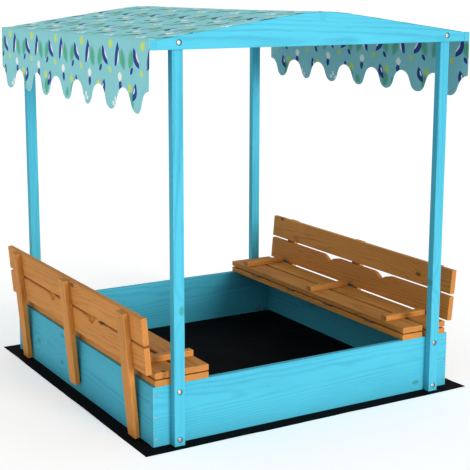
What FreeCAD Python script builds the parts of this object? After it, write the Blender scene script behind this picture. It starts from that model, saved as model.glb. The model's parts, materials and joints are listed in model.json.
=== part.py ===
import FreeCAD, Part
import math
import os
import re
import Sketcher

# Garden sand box with a folding lid on two sides and a fabric roof.
# The origin is at the middle of the ground sheet's underside: X runs across, Y to the rear, Z up.
# Every piece on the right is its left twin turned half round about the upright axis, and so is
# every piece at the rear: only the grip notches differ.

doc = FreeCAD.newDocument("sandbox_with_cover")

# ---------------------------------------------------------------- driving sizes, millimetres and degrees
DRIVING = {
    "box_length": 1200, "box_depth": 1200, "box_height": 200, "panel_thickness": 20,
    "sheet_thickness": 1, "sheet_margin": 53, "eased_edge": 2.5,
    # roof frame
    "post_width": 38, "post_thickness": 28, "post_inset": 62, "roof_height": 1255.5, "post_tongue": 29.5,
    "lap_depth": 10, "gable_thickness": 20, "gable_end_gap": 4, "gable_end_height": 31, "gable_rise": 106,
    "crown_radius": 800, "ridge_width": 28, "ridge_height": 26, "ridge_cover": 4.5,
    "rail_thickness": 21, "rail_height": 31,
    # canopy
    "canopy_thickness": 1.5, "canopy_clearance": 0.3, "valance_drop": 194.5, "scallop_depth": 73.5,
    "scallop_count": 7, "scallop_arch_radius": 49, "scallop_tip_radius": 41, "trim": 4,
    # boards of the lid and bench
    "board_width": 89, "board_thickness": 20, "board_gap": 15, "board_end_gap": 2, "bench_inset": 9.4,
    "seat_gap": 5, "back_gap": 9.2, "rest_gap": 0.4,
    "seat_batten_width": 29, "seat_batten_height": 20, "seat_batten_spacing": 485,
    "seat_batten_inner_gap": 2, "seat_batten_outer_gap": 10,
    "back_batten_width": 55, "back_batten_thickness": 20, "back_batten_spacing": 480,
    "back_batten_top_gap": 3, "foot_gap": 2, "middle_foot_gap": 38, "foot_clearance": 0.3,
    "notch_width": 130, "notch_apex_radius": 17, "notch_shoulder_radius": 90,
    "front_notch_place": 190, "rear_notch_place": 160,
    # hinges
    "knuckle_radius": 2.5, "knuckle_clearance": 0.3, "pin_radius": 1.3, "pin_play": 0.05, "neck_gap": 0.1,
    "leaf_thickness": 1.2, "leaf_width": 18, "leaf_length": 50, "end_knuckle": 15, "knuckle_gap": 0.5,
    "deck_hinge_pitch": 268, "deck_hinge_count": 4, "back_hinge_count": 3,
    "fold_gap": 5, "back_drop": 3.3, "fold_clearance": 0.3, "edge_leaf_width": 15,
    # fasteners
    "bolt_radius": 4, "bolt_head_radius": 6.5, "bolt_head_height": 4.5, "bolt_crown_radius": 3.9,
    "bolt_crown_height": 2.025, "bolt_recess": 6,
    "bolt_recess_radius": 10, "nut_width": 13, "nut_height": 6, "bolt_tail": 3,
    "low_bolt_height": 20, "bolt_pitch": 160, "gable_bolt_height": 21.5,
    "screw_radius": 2.25, "screw_head_radius": 4.2, "screw_head_height": 2.6, "screw_rim_height": 0.78,
    "screw_tip_length": 3, "screw_sink": 0.5,
    "screw_clearance": 0.1, "bench_screw_length": 34, "deck_screw_length": 30, "long_screw_length": 60,
    "low_screw_height": 24, "screw_pitch": 75.25,
}

# ---------------------------------------------------------------- places worked out from the sizes
DERIVED = {
    "half_length": "box_length / 2",
    "half_depth": "box_depth / 2",
    "box_top": "sheet_thickness + box_height",
    "roof_under": "sheet_thickness + roof_height",
    "roof_front": "half_depth + post_thickness + lap_depth",
    "roof_length": "2 * roof_front",
    "post_middle": "half_length - post_inset - post_width / 2",
    "gable_half": "half_length - gable_end_gap",
    "crown_drop": "crown_radius - gable_rise + gable_end_height",
    "roof_slope": "asin(crown_radius / sqrt(gable_half ^ 2 + crown_drop ^ 2)) / 1deg"
                  " - atan(crown_drop / gable_half) / 1deg",
    "ridge_under": "gable_rise - ridge_cover - ridge_height",
    "rail_outer": "gable_half + rail_thickness",
    "rail_top": "roof_under + rail_height",
    "crown_centre": "roof_under + gable_rise - crown_radius",
    "scallop_pitch": "roof_length / scallop_count",
    "valance_tip": "roof_under - valance_drop",
    "arch_centre": "valance_tip + scallop_depth - scallop_arch_radius",
    "tip_centre": "valance_tip + scallop_tip_radius",
    "arch_drop": "arch_centre - tip_centre",
    "arch_turn": "90 - atan(arch_drop * 2 / scallop_pitch) / 1deg - asin((scallop_arch_radius"
                 " + scallop_tip_radius) / sqrt(scallop_pitch ^ 2 / 4 + arch_drop ^ 2)) / 1deg",
    "deck_top": "box_top + board_thickness",
    "seat_under": "deck_top + seat_gap",
    "seat_top": "seat_under + board_thickness",
    "board_pitch": "board_width + board_gap",
    "board_length": "box_depth - 2 * board_end_gap",
    "bench_outer": "bench_inset - half_length",
    "bench_inner": "bench_outer + board_pitch + board_width",
    "pin_clearance": "knuckle_radius + knuckle_clearance",
    "seat_pin_side": "bench_inner + pin_clearance",
    "seat_pin_height": "(seat_top + box_top + rest_gap) / 2",
    "back_pin_side": "bench_outer - fold_gap - back_drop",
    "back_pin_height": "seat_top + pin_clearance",
    "back_face": "pin_clearance + fold_clearance",
    "back_cover": "back_face + board_thickness",
    "foot_height": "sheet_thickness + foot_gap",
    "middle_foot_height": "sheet_thickness + middle_foot_gap",
    "back_reach": "back_pin_side + half_length + foot_clearance",
    "back_rise": "back_pin_height - foot_height",
    "back_lean": "asin(back_cover / sqrt(back_reach ^ 2 + back_rise ^ 2)) / 1deg"
                 " - atan(back_reach / back_rise) / 1deg",
    "back_corner_side": "back_pin_side - back_face * cos(back_lean) + back_drop * sin(back_lean)",
    "back_corner_height": "back_pin_height - back_face * sin(back_lean) - back_drop * cos(back_lean)",
    "back_pitch": "board_width + back_gap",
    "batten_outer": "board_thickness + back_batten_thickness",
    "back_batten_top": "back_pitch + board_width - back_batten_top_gap",
    "foot_place": "(foot_height - back_corner_height + batten_outer * sin(back_lean)) / cos(back_lean)",
    "middle_foot_place": "(middle_foot_height - back_corner_height + batten_outer * sin(back_lean))"
                         " / cos(back_lean)",
    "notch_angle": "asin(notch_width / 2 / (notch_apex_radius + notch_shoulder_radius)) / 1deg",
    "knuckle_start": "end_knuckle + knuckle_gap",
    "knuckle_end": "leaf_length - end_knuckle - knuckle_gap",
    "hole_radius": "screw_radius + screw_clearance",
    "recess_radius": "screw_head_radius + screw_clearance",
    "recess_depth": "screw_head_height + screw_sink",
    "bolt_hole_radius": "bolt_radius + screw_clearance",
    "nut_reach": "nut_width / 2 / cos(30)",
}

# ---------------------------------------------------------------- frames the pieces are set out in
FRAMES = {
    "fixed": "placement(vector(0; 0; 0); rotation(vector(0; 0; 1); 0))",
    "turned": "placement(vector(0; 0; 0); rotation(vector(0; 0; 1); 180))",
    "leaning": "placement(vector(back_corner_side; 0; back_corner_height);"
               " rotation(vector(0; 1; 0); -90 - back_lean))",
}

HOME = {}
HOME.update({name: "sizes." for name in DRIVING})
HOME.update({name: "places." for name in DERIVED})
HOME.update({name: "frames." for name in FRAMES})


def spelled(expression):
    """The expression with its sheet's name before each size."""
    return re.sub(r"[a-z_]+", lambda word: HOME.get(word[0], "") + word[0], str(expression))


def fill_sheet(name, cells, sign):
    """A spreadsheet with one named cell a row; sign comes before what the cell holds."""
    sheet = doc.addObject("Spreadsheet::Sheet", name)
    for row, (alias, content) in enumerate(cells.items(), start=1):
        own = spelled(content).replace(name + ".", "") if sign else str(content)
        sheet.set(f"A{row}", alias)
        sheet.setAlias(f"B{row}", alias)
        sheet.set(f"B{row}", sign + own)
    doc.recompute()
    return sheet


sizes = fill_sheet("sizes", DRIVING, "")
places = fill_sheet("places", DERIVED, "=")
frames = fill_sheet("frames", FRAMES, "=")


def value(expression):
    """The expression's number now."""
    return float(sizes.evalExpression(spelled(expression)))


# ---------------------------------------------------------------- ways of making a piece
PLANES = {"X": "YZ_Plane", "Y": "XZ_Plane", "Z": "XY_Plane"}
PIECES = []


def new_body(label, frame="fixed", corner=("0", "0", "0")):
    """A body for one piece, its own zero set at a corner in one of the frames."""
    body = doc.addObject("PartDesign::Body", label)
    body.Label = label
    shift = f"placement(vector({'; '.join(corner)}); rotation(vector(0; 0; 1); 0))"
    body.setExpression("Placement", spelled(f"{frame} * {shift}"))
    PIECES.append(body)
    return body


def origin_part(body, role):
    """One of the body's own origin planes or axes."""
    return next(part for part in body.Origin.OriginFeatures if part.Role == role)


def empty_sketch(body, name, axis, level, shift=("0", "0")):
    """A sketch square to the axis, at the level along it, its zero moved by shift."""
    sketch = body.newObject("Sketcher::SketchObject", name)
    sketch.AttachmentSupport = [(origin_part(body, PLANES[axis]), "")]
    sketch.MapMode = "FlatFace"
    sign = "-1 * " if axis == "Y" else ""
    sketch.setExpression("AttachmentOffset.Base.x", spelled(shift[0]))
    sketch.setExpression("AttachmentOffset.Base.y", spelled(shift[1]))
    sketch.setExpression("AttachmentOffset.Base.z", spelled(f"{sign}({level})"))
    return sketch


def bind(sketch, constraint, expression):
    """Add a constraint whose number follows the sheet."""
    number = sketch.addConstraint(constraint)
    sketch.setExpression(f"Constraints[{number}]", spelled(expression))


def arc_between(start, end, radius, turn):
    """The short arc from start to end; turn is 1 anticlockwise and -1 clockwise."""
    chord = end - start
    middle = (start + end) / 2
    side = FreeCAD.Vector(-chord.y, chord.x, 0).normalize()
    centre = middle + side * turn * math.sqrt(radius ** 2 - (chord.Length / 2) ** 2)
    first, last = (start, end) if turn > 0 else (end, start)
    angles = [math.atan2(point.y - centre.y, point.x - centre.x) for point in (first, last)]
    return Part.ArcOfCircle(Part.Circle(centre, FreeCAD.Vector(0, 0, 1), radius), *angles)


def draw_outline(sketch, points, arcs=None):
    """A closed line through the points; arcs gives (radius, turn) for an edge by its start's number."""
    arcs = arcs or {}
    spots = [FreeCAD.Vector(value(across), value(along), 0) for across, along in points]
    first = sketch.GeometryCount
    count = len(points)
    for number, start in enumerate(spots):
        end = spots[(number + 1) % count]
        if number in arcs:
            radius, turn = arcs[number]
            sketch.addGeometry(arc_between(start, end, value(radius), turn), False)
        else:
            sketch.addGeometry(Part.LineSegment(start, end), False)
    begins = [2 if arcs.get(number, ("", 1))[1] < 0 else 1 for number in range(count)]
    for number in range(count):
        after = (number + 1) % count
        join = Sketcher.Constraint("Coincident", first + number, 3 - begins[number],
                                   first + after, begins[after])
        sketch.addConstraint(join)
    for number, (across, along) in enumerate(points):
        spot = spots[number]
        bind(sketch, Sketcher.Constraint("DistanceX", -1, 1, first + number, begins[number], spot.x), across)
        bind(sketch, Sketcher.Constraint("DistanceY", -1, 1, first + number, begins[number], spot.y), along)
    for number, (radius, turn) in arcs.items():
        bind(sketch, Sketcher.Constraint("Radius", first + number, value(radius)), radius)


def draw_circle(sketch, across, along, radius):
    """A circle in a sketch, its place and radius bound to the sheet."""
    number = sketch.GeometryCount
    centre = FreeCAD.Vector(value(across), value(along), 0)
    sketch.addGeometry(Part.Circle(centre, FreeCAD.Vector(0, 0, 1), value(radius)), False)
    bind(sketch, Sketcher.Constraint("DistanceX", -1, 1, number, 3, centre.x), across)
    bind(sketch, Sketcher.Constraint("DistanceY", -1, 1, number, 3, centre.y), along)
    bind(sketch, Sketcher.Constraint("Radius", number, value(radius)), radius)


def rectangle(low, high):
    """The corners of a rectangle, for draw_outline."""
    return [low, (high[0], low[1]), high, (low[0], high[1])]


def extrude(body, kind, name, axis, level, length, outlines=(), circles=()):
    """A Pad or a Pocket from the level up the axis, of outlines (points, arcs) and circles."""
    sketch = empty_sketch(body, name + "_sketch", axis, level)
    for points, arcs in outlines:
        draw_outline(sketch, points, arcs)
    for circle in circles:
        draw_circle(sketch, *circle)
    before = body.Shape.Volume if kind == "Pocket" else 0
    feature = body.newObject("PartDesign::" + kind, name)
    feature.Profile = sketch
    feature.setExpression("Length", spelled(length))
    feature.Reversed = (axis == "Y") == (kind == "Pad")
    doc.recompute()
    if kind == "Pocket" and body.Shape.Volume >= before:
        raise ValueError(f"{body.Label}: {name} cuts nothing")
    return feature


def ease(body, chosen):
    """Round the edges that chosen(edge) is true for."""
    base = body.Tip
    names = [f"Edge{number}" for number, edge in enumerate(base.Shape.Edges, start=1) if chosen(edge)]
    fillet = body.newObject("PartDesign::Fillet", "eased_edges")
    fillet.Base = (base, names)
    fillet.setExpression("Radius", spelled("eased_edge"))
    doc.recompute()


def runs_along(axis):
    """A test for straight edges that run along the axis."""
    way = {"X": FreeCAD.Vector(1, 0, 0), "Y": FreeCAD.Vector(0, 1, 0), "Z": FreeCAD.Vector(0, 0, 1)}[axis]
    return lambda edge: abs(edge.tangentAt(edge.FirstParameter).dot(way)) > 0.999


def timber(label, frame, corner, size, grain=None):
    """A planed board or batten, its four edges along the grain eased where grain names an axis."""
    body = new_body(label, frame, corner)
    extrude(body, "Pad", "blank", "Z", "0", size[2], [(rectangle(("0", "0"), size[:2]), None)])
    if grain:
        ease(body, runs_along(grain))
    return body


def turned_solid(body, axis, spot, profile):
    """A solid of revolution about a line along the axis through spot; profile is (radius, along)."""
    if axis == "Z":
        sketch = empty_sketch(body, "turned_sketch", "Y", spot[1], (spot[0], spot[2]))
    else:
        sketch = empty_sketch(body, "turned_sketch", "Z", spot[2], (spot[0], spot[1]))
    if axis == "X":
        profile = [(along, radius) for radius, along in profile]
    draw_outline(sketch, profile)
    solid = body.newObject("PartDesign::Revolution", "turned")
    solid.Profile = sketch
    solid.ReferenceAxis = (sketch, ["H_Axis" if axis == "X" else "V_Axis"])
    solid.Angle = 360
    doc.recompute()


def repeat(body, axis, pitch, count, only=None):
    """The whole body, or only one feature of it, again and again along an axis."""
    pattern = body.newObject("PartDesign::LinearPattern", "row_along_" + axis.lower())
    if only:
        pattern.Originals = [only]
    else:
        pattern.TransformMode = "Whole shape"
    pattern.Direction = (origin_part(body, axis + "_Axis"), [""])
    pattern.setExpression("Length", spelled(f"({pitch}) * ({count} - 1)"))
    pattern.setExpression("Occurrences", spelled(count))
    body.Tip = pattern
    doc.recompute()


def mirror(body, axis):
    """The whole body again, mirrored across the plane square to the axis."""
    pattern = body.newObject("PartDesign::Mirrored", "mirrored_across_" + axis.lower())
    pattern.TransformMode = "Whole shape"
    pattern.MirrorPlane = (origin_part(body, PLANES[axis]), [""])
    body.Tip = pattern
    doc.recompute()


def screw_profile(length, way):
    """Half a flat-headed screw from its head's top at 0; way is 1 or -1 along the axis."""
    sign = "" if way > 0 else "-"
    return [("0", "0"), ("screw_head_radius", "0"), ("screw_head_radius", f"{sign}screw_rim_height"),
            ("screw_radius", f"{sign}screw_head_height"),
            ("screw_radius", f"{sign}({length} - screw_tip_length)"), ("0", f"{sign}({length})")]


def bolt_profile(length, way):
    """Half a domed bolt from its head's top at 0; way is 1 or -1 along the axis."""
    sign = "" if way > 0 else "-"
    return [("0", "0"), ("bolt_crown_radius", "0"), ("bolt_head_radius", f"{sign}bolt_crown_height"),
            ("bolt_head_radius", f"{sign}bolt_head_height"), ("bolt_radius", f"{sign}bolt_head_height"),
            ("bolt_radius", f"{sign}({length})"), ("0", f"{sign}({length})")]


def drill(body, axis, entry, through, centres, way):
    """Screw holes with a recess for the head. entry is the face's level and way points into the wood."""
    low = entry if way > 0 else f"{entry} - ({through})"
    sink = entry if way > 0 else f"{entry} - recess_depth"
    extrude(body, "Pocket", "holes", axis, low, through, circles=[(*spot, "hole_radius") for spot in centres])
    extrude(body, "Pocket", "recesses", axis, sink, "recess_depth",
            circles=[(*spot, "recess_radius") for spot in centres])


# ---------------------------------------------------------------- ground sheet and box
def make_ground_sheet():
    """The cloth under the box."""
    sheet = doc.addObject("Part::Box", "ground_sheet")
    sheet.Label = "ground_sheet"
    sheet.setExpression("Length", spelled("box_length + 2 * sheet_margin"))
    sheet.setExpression("Width", spelled("box_depth + 2 * sheet_margin"))
    sheet.setExpression("Height", spelled("sheet_thickness"))
    sheet.setExpression("Placement.Base.x", spelled("-half_length - sheet_margin"))
    sheet.setExpression("Placement.Base.y", spelled("-half_depth - sheet_margin"))
    PIECES.append(sheet)


def make_end_panel(label, frame):
    """The front panel, and turned the rear one: full length, screwed to the side panels' ends."""
    body = timber(label, frame, ("-half_length", "-half_depth", "sheet_thickness"),
                  ("box_length", "panel_thickness", "box_height"), "X")
    sides = ("panel_thickness / 2", "box_length - panel_thickness / 2")
    heights = [f"low_screw_height + {step} * screw_pitch" for step in range(3)]
    drill(body, "Y", "0", "panel_thickness", [(side, height) for side in sides for height in heights], 1)
    posts = ("post_inset + post_width / 2", "box_length - post_inset - post_width / 2")
    bolts = ("low_bolt_height", "low_bolt_height + bolt_pitch")
    extrude(body, "Pocket", "bolt_holes", "Y", "0", "panel_thickness",
            circles=[(side, height, "bolt_hole_radius") for side in posts for height in bolts])
    decks = [f"bench_inset + {place}" for place in screw_row()]
    places_along = decks + [f"box_length - ({place})" for place in decks]
    grip = "deck_screw_length + screw_sink - board_thickness"
    extrude(body, "Pocket", "deck_screw_holes", "Z", f"box_height - ({grip})", grip,
            circles=[(place, "panel_thickness / 2", "hole_radius") for place in places_along])


def make_side_panel(label, frame):
    """The left panel, and turned the right one, between the end panels."""
    body = timber(label, frame, ("-half_length", "panel_thickness - half_depth", "sheet_thickness"),
                  ("panel_thickness", "box_depth - 2 * panel_thickness", "box_height"), "Y")
    depth = "long_screw_length + screw_sink - panel_thickness"
    heights = [f"low_screw_height + {step} * screw_pitch" for step in range(3)]
    holes = [("panel_thickness / 2", height, "hole_radius") for height in heights]
    extrude(body, "Pocket", "front_screw_holes", "Y", "0", depth, circles=holes)
    extrude(body, "Pocket", "rear_screw_holes", "Y", f"box_depth - 2 * panel_thickness - ({depth})", depth,
            circles=holes)


def make_corner_screws():
    """Three long screws at each corner of the box."""
    body = new_body("corner_screws")
    spot = ("panel_thickness / 2 - half_length", "screw_sink - half_depth",
            "sheet_thickness + low_screw_height")
    turned_solid(body, "Y", spot, screw_profile("long_screw_length", 1))
    repeat(body, "Z", "screw_pitch", "3")
    mirror(body, "X")
    mirror(body, "Y")


# ---------------------------------------------------------------- roof frame
def make_post(label, frame, side):
    """A corner post, its top lapped behind the gable. side is the post's middle along X."""
    corner = (f"{side} - post_width / 2", "-half_depth - post_thickness", "sheet_thickness")
    body = timber(label, frame, corner, ("post_width", "post_thickness", "roof_height + post_tongue"), "Z")
    extrude(body, "Pocket", "lap", "Z", "roof_height", "post_tongue",
            [(rectangle(("0", "0"), ("post_width", "gable_thickness - lap_depth")), None)])
    bolts = [("post_width / 2", f"low_bolt_height + {step} * bolt_pitch") for step in range(2)]
    extrude(body, "Pocket", "bolt_holes", "Y", "0", "post_thickness",
            circles=[(*spot, "bolt_hole_radius") for spot in bolts])
    extrude(body, "Pocket", "bolt_recesses", "Y", "0", "bolt_recess",
            circles=[(*spot, "bolt_recess_radius") for spot in bolts])
    extrude(body, "Pocket", "gable_bolt_hole", "Y", "gable_thickness - lap_depth",
            "post_thickness - gable_thickness + lap_depth",
            circles=[("post_width / 2", "roof_height + gable_bolt_height", "bolt_hole_radius")])


def make_gable(label, frame):
    """An arched board: straight slopes tangent to a round crown, with a slot for the ridge beam."""
    body = new_body(label, frame, ("0", "-roof_front", "roof_under"))
    tangent = ("crown_radius * sin(roof_slope)", "crown_radius * cos(roof_slope) + gable_rise - crown_radius")
    points = [("-gable_half", "0"), ("gable_half", "0"), ("gable_half", "gable_end_height"), tangent,
              ("-" + tangent[0], tangent[1]), ("-gable_half", "gable_end_height")]
    extrude(body, "Pad", "blank", "Y", "0", "gable_thickness", [(points, {3: ("crown_radius", 1)})])
    ease(body, lambda edge: not runs_along("Y")(edge))
    corners = rectangle(("-ridge_width / 2", "ridge_under"),
                        ("ridge_width / 2", "ridge_under + ridge_height"))
    extrude(body, "Pocket", "ridge_slot", "Y", "0", "gable_thickness", [(corners, None)])
    bolts = [(side, "gable_bolt_height") for side in ("-post_middle", "post_middle")]
    extrude(body, "Pocket", "bolt_holes", "Y", "0", "gable_thickness",
            circles=[(*spot, "bolt_hole_radius") for spot in bolts])
    extrude(body, "Pocket", "bolt_recesses", "Y", "0", "bolt_recess",
            circles=[(*spot, "bolt_recess_radius") for spot in bolts])
    extrude(body, "Pocket", "rail_screw_holes", "X", "-gable_half", "long_screw_length - rail_thickness",
            circles=[("gable_thickness / 2", "rail_height / 2", "hole_radius")])
    extrude(body, "Pocket", "far_rail_screw_holes", "X", "gable_half - long_screw_length + rail_thickness",
            "long_screw_length - rail_thickness",
            circles=[("gable_thickness / 2", "rail_height / 2", "hole_radius")])


def make_eave_rail(label, frame):
    """The rail along one side of the roof, flush with the gables' faces."""
    body = timber(label, frame, ("-rail_outer", "-roof_front", "roof_under"),
                  ("rail_thickness", "roof_length", "rail_height"), "Y")
    ends = ("gable_thickness / 2", "roof_length - gable_thickness / 2")
    drill(body, "X", "0", "rail_thickness", [(end, "rail_height / 2") for end in ends], 1)


def make_roof_fasteners():
    """Bolts with nuts through the posts, bolts with nuts through the gables, and the rail screws."""
    spot = ("-post_middle", "bolt_recess - bolt_head_height - half_depth - post_thickness",
            "sheet_thickness + low_bolt_height")
    grip = "post_thickness + panel_thickness + bolt_head_height - bolt_recess"
    rows = [("post_bolts", "post_nuts", spot, grip, "2")]
    spot = ("-post_middle", "bolt_recess - bolt_head_height - roof_front", "roof_under + gable_bolt_height")
    grip = "gable_thickness + post_thickness - gable_thickness + lap_depth + bolt_head_height - bolt_recess"
    rows.append(("gable_bolts", "gable_nuts", spot, grip, "1"))
    for bolts, nuts, spot, grip, count in rows:
        body = new_body(bolts)
        turned_solid(body, "Y", spot, bolt_profile(f"{grip} + nut_height + bolt_tail", 1))
        if count != "1":
            repeat(body, "Z", "bolt_pitch", count)
        mirror(body, "X")
        mirror(body, "Y")
        body = new_body(nuts)
        hexagon = [(f"{spot[0]} + nut_reach * cos({turn})", f"{spot[2]} + nut_reach * sin({turn})")
                   for turn in range(0, 360, 60)]
        extrude(body, "Pad", "blank", "Y", f"{spot[1]} + {grip}", "nut_height", [(hexagon, None)],
                [(spot[0], spot[2], "bolt_hole_radius")])
        if count != "1":
            repeat(body, "Z", "bolt_pitch", count)
        mirror(body, "X")
        mirror(body, "Y")
    body = new_body("rail_screws")
    spot = ("screw_sink - rail_outer", "gable_thickness / 2 - roof_front", "roof_under + rail_height / 2")
    turned_solid(body, "X", spot, screw_profile("long_screw_length - screw_sink", 1))
    mirror(body, "X")
    mirror(body, "Y")


def make_canopy():
    """The fabric over the roof: one skin that hangs down both sides, its lower edges scalloped."""
    body = new_body("canopy")
    inner = "canopy_clearance"
    outer = "(canopy_clearance + canopy_thickness)"

    def half(skin):
        """One side of the skin from its lower edge to the crown, as distances from the middle."""
        return [(f"rail_outer + {skin}", "valance_tip - trim / 2"),
                (f"rail_outer + {skin}", f"rail_top + {skin}"),
                (f"gable_half + {skin} * tan(roof_slope / 2)", f"rail_top + {skin}"),
                (f"(crown_radius + {skin}) * sin(roof_slope)",
                 f"crown_centre + (crown_radius + {skin}) * cos(roof_slope)")]

    def left(points):
        return [(f"-({across})", up) for across, up in points]

    points = half(outer) + left(half(outer))[::-1] + left(half(inner)) + half(inner)[::-1]
    arcs = {3: (f"crown_radius + {outer}", 1), 11: (f"crown_radius + {inner}", -1)}
    extrude(body, "Pad", "skin", "Y", "-roof_front", "roof_length", [(points, arcs)])
    cosine, sine = "cos(arch_turn)", "sin(arch_turn)"
    rising = [("scallop_pitch / 2 + trim", "valance_tip - trim"),
              ("scallop_pitch / 2 + trim", "valance_tip"),
              ("scallop_pitch / 2", "valance_tip"),
              (f"scallop_pitch / 2 - scallop_tip_radius * {cosine}",
               f"tip_centre - scallop_tip_radius * {sine}"),
              (f"scallop_arch_radius * {cosine}", f"arch_centre + scallop_arch_radius * {sine}")]
    shift = "-roof_front"
    points = [(f"{shift} + {along}", up) for along, up in rising]
    points += [(f"{shift} - ({along})", up) for along, up in rising[::-1]]
    arcs = {2: ("scallop_tip_radius", -1), 4: ("scallop_arch_radius", 1), 6: ("scallop_tip_radius", -1)}
    arch = extrude(body, "Pocket", "arch", "X", "-rail_outer - trim", "2 * (rail_outer + trim)",
                   [(points, arcs)])
    repeat(body, "Y", "scallop_pitch", "(scallop_count + 1)", only=arch)


# ---------------------------------------------------------------- benches
def screw_row():
    """The screws' places across two boards, two to each board."""
    return [f"board_width / 2 + {step} * board_pitch / 2 - board_pitch / 4" for step in range(4)]


def make_bench_boards(side, frame):
    """The fixed deck boards and the seat boards above them."""
    across = {"outer": "bench_outer", "inner": "bench_outer + board_pitch"}
    size = ("board_width", "board_length", "board_thickness")
    near = "board_width / 2 - board_pitch / 4"
    pair = (near, f"{near} + board_pitch / 2")
    for place, start in across.items():
        deck = timber(f"{side}_deck_{place}_board", frame, (start, "-board_length / 2", "box_top"), size, "Y")
        ends = ("panel_thickness / 2 - board_end_gap",
                "board_length - panel_thickness / 2 + board_end_gap")
        drill(deck, "Z", "board_thickness", "board_thickness",
              [(spot, end) for spot in pair for end in ends], -1)
        seat = timber(f"{side}_seat_{place}_board", frame, (start, "-board_length / 2", "seat_under"), size, "Y")
        rows = [f"board_length / 2 + {step} * seat_batten_spacing" for step in (-1, 0, 1)]
        grip = "bench_screw_length + screw_sink - seat_batten_height"
        extrude(seat, "Pocket", "holes", "Z", f"board_thickness - ({grip})", grip,
                circles=[(spot, row, "hole_radius") for spot in pair for row in rows])


def make_seat_battens(side, frame):
    """Three battens across the seat boards, and their screws."""
    start = "bench_outer + seat_batten_outer_gap"
    length = "bench_inner - bench_outer - seat_batten_outer_gap - seat_batten_inner_gap"
    for name, step in (("front", -1), ("middle", 0), ("rear", 1)):
        label = f"{side}_seat_{name}_batten"
        place = step if frame == "fixed" else -step
        corner = (start, f"{place} * seat_batten_spacing - seat_batten_width / 2", "seat_top")
        body = timber(label, frame, corner, (length, "seat_batten_width", "seat_batten_height"), "X")
        spots = [(f"{spot} - seat_batten_outer_gap", "seat_batten_width / 2") for spot in screw_row()]
        drill(body, "Z", "seat_batten_height", "seat_batten_height", spots, -1)
    body = new_body(f"{side}_seat_screws", frame)
    spot = (f"bench_outer + {screw_row()[0]}", "-seat_batten_spacing",
            "seat_top + seat_batten_height - screw_sink")
    turned_solid(body, "Z", spot, screw_profile("bench_screw_length", -1))
    repeat(body, "X", "board_pitch / 2", "4")
    repeat(body, "Y", "seat_batten_spacing", "3")


def make_backrest(side, frame):
    """Two boards with grip notches, three battens that are also the feet, and their screws."""
    leaning = f"{frame} * leaning"
    size = ("board_width", "board_length", "board_thickness")
    rows = [f"board_length / 2 + {step} * back_batten_spacing" for step in (-1, 0, 1)]
    grip = "bench_screw_length + screw_sink - back_batten_thickness"
    first = "board_width / 2 - back_pitch / 4"
    for name, start in (("lower", "0"), ("upper", "back_pitch")):
        body = timber(f"{side}_back_{name}_board", leaning, (start, "-board_length / 2", "0"), size, "Y")
        spots = [(spot, row) for spot in (first, f"{first} + back_pitch / 2") for row in rows]
        extrude(body, "Pocket", "holes", "Z", f"board_thickness - ({grip})", grip,
                circles=[(*spot, "hole_radius") for spot in spots])
        if name == "lower":
            sign = "" if frame == "fixed" else "-"
            for label, place in (("front_notch", "-front_notch_place"), ("rear_notch", "rear_notch_place")):
                cut_notch(body, label, f"board_length / 2 + {sign}({place})")
    feet = (("front", -1, "foot_place"), ("middle", 0, "middle_foot_place"), ("rear", 1, "foot_place"))
    for name, step, foot in feet:
        place = step if frame == "fixed" else -step
        corner = (foot, f"{place} * back_batten_spacing - back_batten_width / 2", "board_thickness")
        body = timber(f"{side}_back_{name}_batten", leaning, corner,
                      (f"back_batten_top - {foot}", "back_batten_width", "back_batten_thickness"), "X")
        spots = [(f"{first} + {step_up} * back_pitch / 2 - {foot}", "back_batten_width / 2")
                 for step_up in range(4)]
        drill(body, "Z", "back_batten_thickness", "back_batten_thickness", spots, -1)
    body = new_body(f"{side}_back_screws", leaning)
    turned_solid(body, "Z", (first, "-back_batten_spacing", "batten_outer - screw_sink"),
                 screw_profile("bench_screw_length", -1))
    repeat(body, "X", "back_pitch / 2", "4")
    repeat(body, "Y", "back_batten_spacing", "3")


def cut_notch(body, name, middle):
    """A finger grip in a board's upper edge: a small round between two wide shoulders."""
    shoulder = "notch_shoulder_radius"
    top = "board_width"
    bend = f"board_width - {shoulder} * (1 - cos(notch_angle))"
    inward = f"notch_width / 2 - {shoulder} * sin(notch_angle)"
    points = [(top, f"{middle} - notch_width / 2"), (bend, f"{middle} - ({inward})"),
              (bend, f"{middle} + {inward}"), (top, f"{middle} + notch_width / 2"),
              (f"{top} + trim", f"{middle} + notch_width / 2"),
              (f"{top} + trim", f"{middle} - notch_width / 2")]
    arcs = {0: (shoulder, 1), 1: ("notch_apex_radius", -1), 2: (shoulder, 1)}
    extrude(body, "Pocket", name, "Z", "0", "board_thickness", [(points, arcs)])


def make_deck_screws():
    """Screws through the deck boards' ends into the end panels."""
    body = new_body("deck_screws")
    spot = (f"bench_outer + {screw_row()[0]}", "panel_thickness / 2 - half_depth", "deck_top - screw_sink")
    turned_solid(body, "Z", spot, screw_profile("deck_screw_length", -1))
    repeat(body, "X", "board_pitch / 2", "4")
    mirror(body, "X")
    mirror(body, "Y")


# ---------------------------------------------------------------- hinges
def make_leaves(label, frame, corner, first, plates, tab, middle_knuckle, pitch, count):
    """A row of hinge leaves. plates run the leaf's length; tab joins a knuckle to its plate."""
    body = new_body(label, frame, corner)
    extrude(body, "Pad", "plates", "Y", first, "leaf_length", [(rectangle(*plate), None) for plate in plates])
    spans = [("knuckle_start", "knuckle_end - knuckle_start")]
    if not middle_knuckle:
        spans = [("0", "end_knuckle"), ("leaf_length - end_knuckle", "end_knuckle")]
    for start, length in spans:
        place = f"{first} + {start}"
        for piece in tab:
            extrude(body, "Pad", "tab", "Y", place, length, [(rectangle(*piece), None)])
        extrude(body, "Pad", "knuckle", "Y", place, length, circles=[("0", "0", "knuckle_radius")])
    extrude(body, "Pocket", "bore", "Y", first, "leaf_length", circles=[("0", "0", "pin_radius + pin_play")])
    repeat(body, "Y", pitch, count)


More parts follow.
